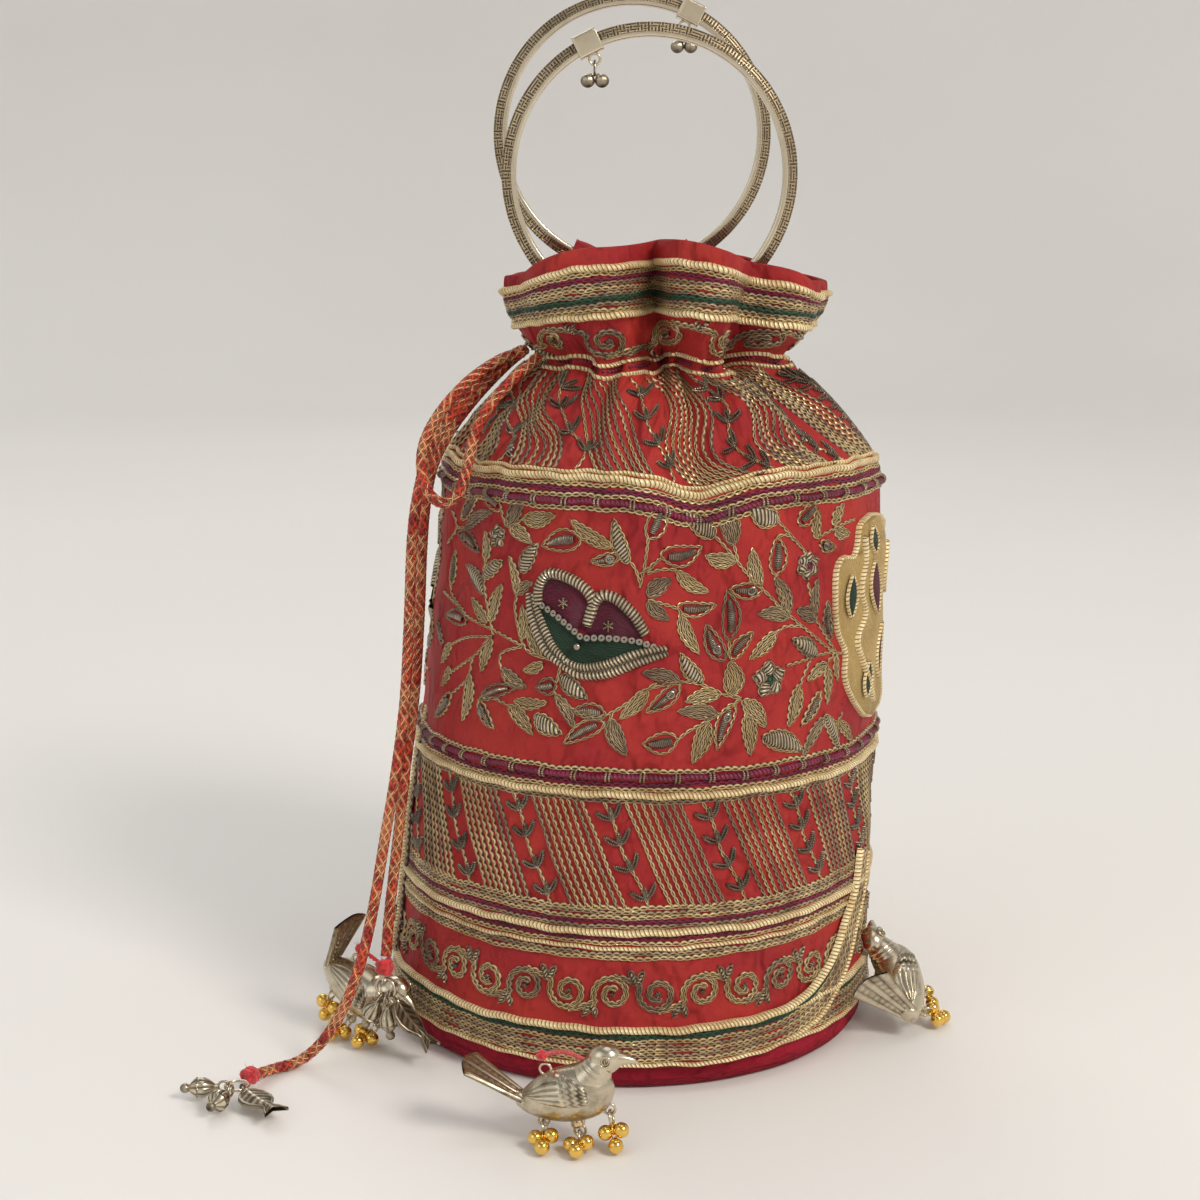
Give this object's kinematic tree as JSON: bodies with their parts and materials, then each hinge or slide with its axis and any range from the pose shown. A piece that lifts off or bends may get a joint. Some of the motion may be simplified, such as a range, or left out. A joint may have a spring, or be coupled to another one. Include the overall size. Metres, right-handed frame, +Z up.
{
  "type": "potli bag",
  "caption": "Round-based drawstring potli bag in embroidered silk with gathered neck and ruffle, twin round metal handles, silver birds with bead drops and cord-end charms.",
  "frame": {"origin": "centre of the round base, on the surface that the bag stands on", "axes": "+Z up; -Y is the side towards the viewer of the picture; +X to the viewer's right"},
  "size_m": [0.2194, 0.2151, 0.3014],
  "materials": {
    "silk": "dull silk with couched metal-thread embroidery",
    "lining": "plain satin",
    "zari": "pale gold metal-wrapped cord",
    "maroon": "maroon silk cord tied down with gold",
    "braid": "braided cord with gold flecks",
    "silver": "antique silver, embossed",
    "gold": "polished",
    "thread": "fuzzy sewing thread"
  },
  "bodies": {
    "bag": {"outer_shell": "silk", "foot_tray": "silk", "lining": "lining", "upper_gold_cord": "zari", "upper_maroon_cord": "maroon", "middle_maroon_cord": "maroon", "middle_gold_cord": "zari", "border_gold_cord": "zari", "header_gold_cord": "zari", "drawcord_neck": "braid", "drawcord_long": "braid", "drawcord_short": "braid", "drawcord_slack": "braid", "end_knot_long": "thread", "end_knot_short": "thread", "charm_ring_long": "silver", "charm_ring_short": "silver", "bangle_loop_front_left": "silk", "bangle_loop_front_right": "silk", "bangle_loop_rear_left": "silk", "bangle_loop_rear_right": "silk"},
    "front_handle": {"bangle_front": "silver", "clasp_sleeve_front": "silver"},
    "front_bells": {"clasp_bells_front": "silver"},
    "rear_handle": {"bangle_rear": "silver", "clasp_sleeve_rear": "silver"},
    "rear_bells": {"clasp_bells_rear": "silver"},
    "front_bird": {"bird_front": "silver", "bird_tie_front": "thread"},
    "front_bunch_1": {"bead_bunch_front_1": "gold"},
    "front_bunch_2": {"bead_bunch_front_2": "gold"},
    "front_bunch_3": {"bead_bunch_front_3": "gold"},
    "right_bird": {"bird_right": "silver", "bird_tie_right": "thread"},
    "right_bunch_1": {"bead_bunch_right_1": "gold"},
    "right_bunch_2": {"bead_bunch_right_2": "gold"},
    "right_bunch_3": {"bead_bunch_right_3": "gold"},
    "back_bird": {"bird_back": "silver", "bird_tie_back": "thread"},
    "back_bunch_1": {"bead_bunch_back_1": "gold"},
    "back_bunch_2": {"bead_bunch_back_2": "gold"},
    "back_bunch_3": {"bead_bunch_back_3": "gold"},
    "left_bird": {"bird_left": "silver", "bird_tie_left": "thread"},
    "left_bunch_1": {"bead_bunch_left_1": "gold"},
    "left_bunch_2": {"bead_bunch_left_2": "gold"},
    "left_bunch_3": {"bead_bunch_left_3": "gold"},
    "bud_long_1": {"charm_bud_long_1": "silver"},
    "bud_long_2": {"charm_bud_long_2": "silver"},
    "plaque_long": {"charm_plaque_long": "silver"},
    "bud_short_1": {"charm_bud_short_1": "silver"},
    "bud_short_2": {"charm_bud_short_2": "silver"},
    "plaque_short": {"charm_plaque_short": "silver"}
  },
  "joints": [
    {"name": "front_bangle_tilt", "type": "hinge", "parent": "bag", "child": "front_handle", "pos_m": [0.0045, -0.0215, 0.2127], "axis": [1, 0, 0], "range_deg": [-24, 24]},
    {"name": "front_bells_swing", "type": "hinge", "parent": "front_handle", "child": "front_bells", "pos_m": [-0.01064, -0.0215, 0.27823], "axis": [1, 0, 0], "range_deg": [-55, 55]},
    {"name": "rear_bangle_tilt", "type": "hinge", "parent": "bag", "child": "rear_handle", "pos_m": [0.0003, 0.021, 0.2244], "axis": [1, 0, 0], "range_deg": [-24, 24]},
    {"name": "rear_bells_swing", "type": "hinge", "parent": "rear_handle", "child": "rear_bells", "pos_m": [0.01544, 0.021, 0.28993], "axis": [1, 0, 0], "range_deg": [-55, 55]},
    {"name": "front_bird_swing", "type": "hinge", "parent": "bag", "child": "front_bird", "pos_m": [-0.01263, -0.07163, 0.00874], "axis": [0.9848, -0.1736, 0], "range_deg": [-45, 80]},
    {"name": "front_bunch_1_swing", "type": "hinge", "parent": "front_bird", "child": "front_bunch_1", "pos_m": [-0.02355, -0.10321, 0.00518], "axis": [0.9513, -0.1677, 0.2588], "range_deg": [-30, 110]},
    {"name": "front_bunch_2_swing", "type": "hinge", "parent": "front_bird", "child": "front_bunch_2", "pos_m": [-0.01401, -0.10489, 0.00293], "axis": [0.9513, -0.1677, 0.2588], "range_deg": [-40, 110]},
    {"name": "front_bunch_3_swing", "type": "hinge", "parent": "front_bird", "child": "front_bunch_3", "pos_m": [-0.00639, -0.10623, 0.00954], "axis": [0.9513, -0.1677, 0.2588], "range_deg": [-55, 110]},
    {"name": "right_bird_swing", "type": "hinge", "parent": "bag", "child": "right_bird", "pos_m": [0.06897, -0.02308, 0.0104], "axis": [0.3173, 0.9483, 0], "range_deg": [0, 75]},
    {"name": "right_bunch_1_swing", "type": "hinge", "parent": "right_bird", "child": "right_bunch_1", "pos_m": [0.08693, -0.02936, 0.00587], "axis": [-0.1653, 0.8124, 0.5592], "range_deg": [-55, 105]},
    {"name": "right_bunch_2_swing", "type": "hinge", "parent": "right_bird", "child": "right_bunch_2", "pos_m": [0.08888, -0.01998, 0.0085], "axis": [-0.1653, 0.8124, 0.5592], "range_deg": [-55, 100]},
    {"name": "right_bunch_3_swing", "type": "hinge", "parent": "right_bird", "child": "right_bunch_3", "pos_m": [0.08418, -0.01463, 0.01576], "axis": [-0.1653, 0.8124, 0.5592], "range_deg": [-55, 45]},
    {"name": "back_bird_swing", "type": "hinge", "parent": "bag", "child": "back_bird", "pos_m": [0.00507, 0.07255, 0.01369], "axis": [-0.9976, 0.0698, 0], "range_deg": [-35, 80]},
    {"name": "back_bunch_1_swing", "type": "hinge", "parent": "back_bird", "child": "back_bunch_1", "pos_m": [0.01266, 0.09073, 0.00629], "axis": [-0.9897, -0.0346, 0.1392], "range_deg": [-40, 95]},
    {"name": "back_bunch_2_swing", "type": "hinge", "parent": "back_bird", "child": "back_bunch_2", "pos_m": [0.00332, 0.0904, 0.00288], "axis": [-0.9897, -0.0346, 0.1392], "range_deg": [-40, 110]},
    {"name": "back_bunch_3_swing", "type": "hinge", "parent": "back_bird", "child": "back_bunch_3", "pos_m": [-0.00515, 0.09011, 0.00849], "axis": [-0.9897, -0.0346, 0.1392], "range_deg": [-50, 58]},
    {"name": "left_bird_swing", "type": "hinge", "parent": "bag", "child": "left_bird", "pos_m": [-0.06695, -0.02842, 0.01022], "axis": [0.3907, -0.9205, 0], "range_deg": [-15, 20]},
    {"name": "left_bunch_1_swing", "type": "hinge", "parent": "left_bird", "child": "left_bunch_1", "pos_m": [-0.08838, -0.02883, 0.01157], "axis": [0.7776, -0.505, -0.3746], "range_deg": [-55, 100]},
    {"name": "left_bunch_2_swing", "type": "hinge", "parent": "left_bird", "child": "left_bunch_2", "pos_m": [-0.08302, -0.03231, 0.00394], "axis": [0.7776, -0.505, -0.3746], "range_deg": [-50, 110]},
    {"name": "left_bunch_3_swing", "type": "hinge", "parent": "left_bird", "child": "left_bunch_3", "pos_m": [-0.07451, -0.03784, 0.00456], "axis": [0.7776, -0.505, -0.3746], "range_deg": [-20, 110]},
    {"name": "bud_long_1_swing", "type": "hinge", "parent": "bag", "child": "bud_long_1", "pos_m": [-0.10989, -0.07943, 0.00377], "axis": [0.9426, -0.3338, 0], "range_deg": [-60, 60]},
    {"name": "bud_long_2_swing", "type": "hinge", "parent": "bag", "child": "bud_long_2", "pos_m": [-0.112, -0.07677, 0.00377], "axis": [0.1132, -0.9936, 0], "range_deg": [-74, 74]},
    {"name": "plaque_long_swing", "type": "hinge", "parent": "bag", "child": "plaque_long", "pos_m": [-0.10683, -0.07891, 0.00377], "axis": [0.7826, 0.6225, 0], "range_deg": [-60, 60]},
    {"name": "bud_short_1_swing", "type": "hinge", "parent": "bag", "child": "bud_short_1", "pos_m": [-0.07187, -0.04835, 0.0182], "axis": [0.7568, -0.4024, -0.515], "range_deg": [-80, 0]},
    {"name": "bud_short_2_swing", "type": "hinge", "parent": "bag", "child": "bud_short_2", "pos_m": [-0.07017, -0.04926, 0.01776], "axis": [0.8796, -0.4677, 0.0872], "range_deg": [-35, 14]},
    {"name": "plaque_short_swing", "type": "hinge", "parent": "bag", "child": "plaque_short", "pos_m": [-0.06842, -0.05019, 0.01869], "axis": [0.6243, -0.332, 0.7071], "range_deg": [-74, 14]}
  ]
}
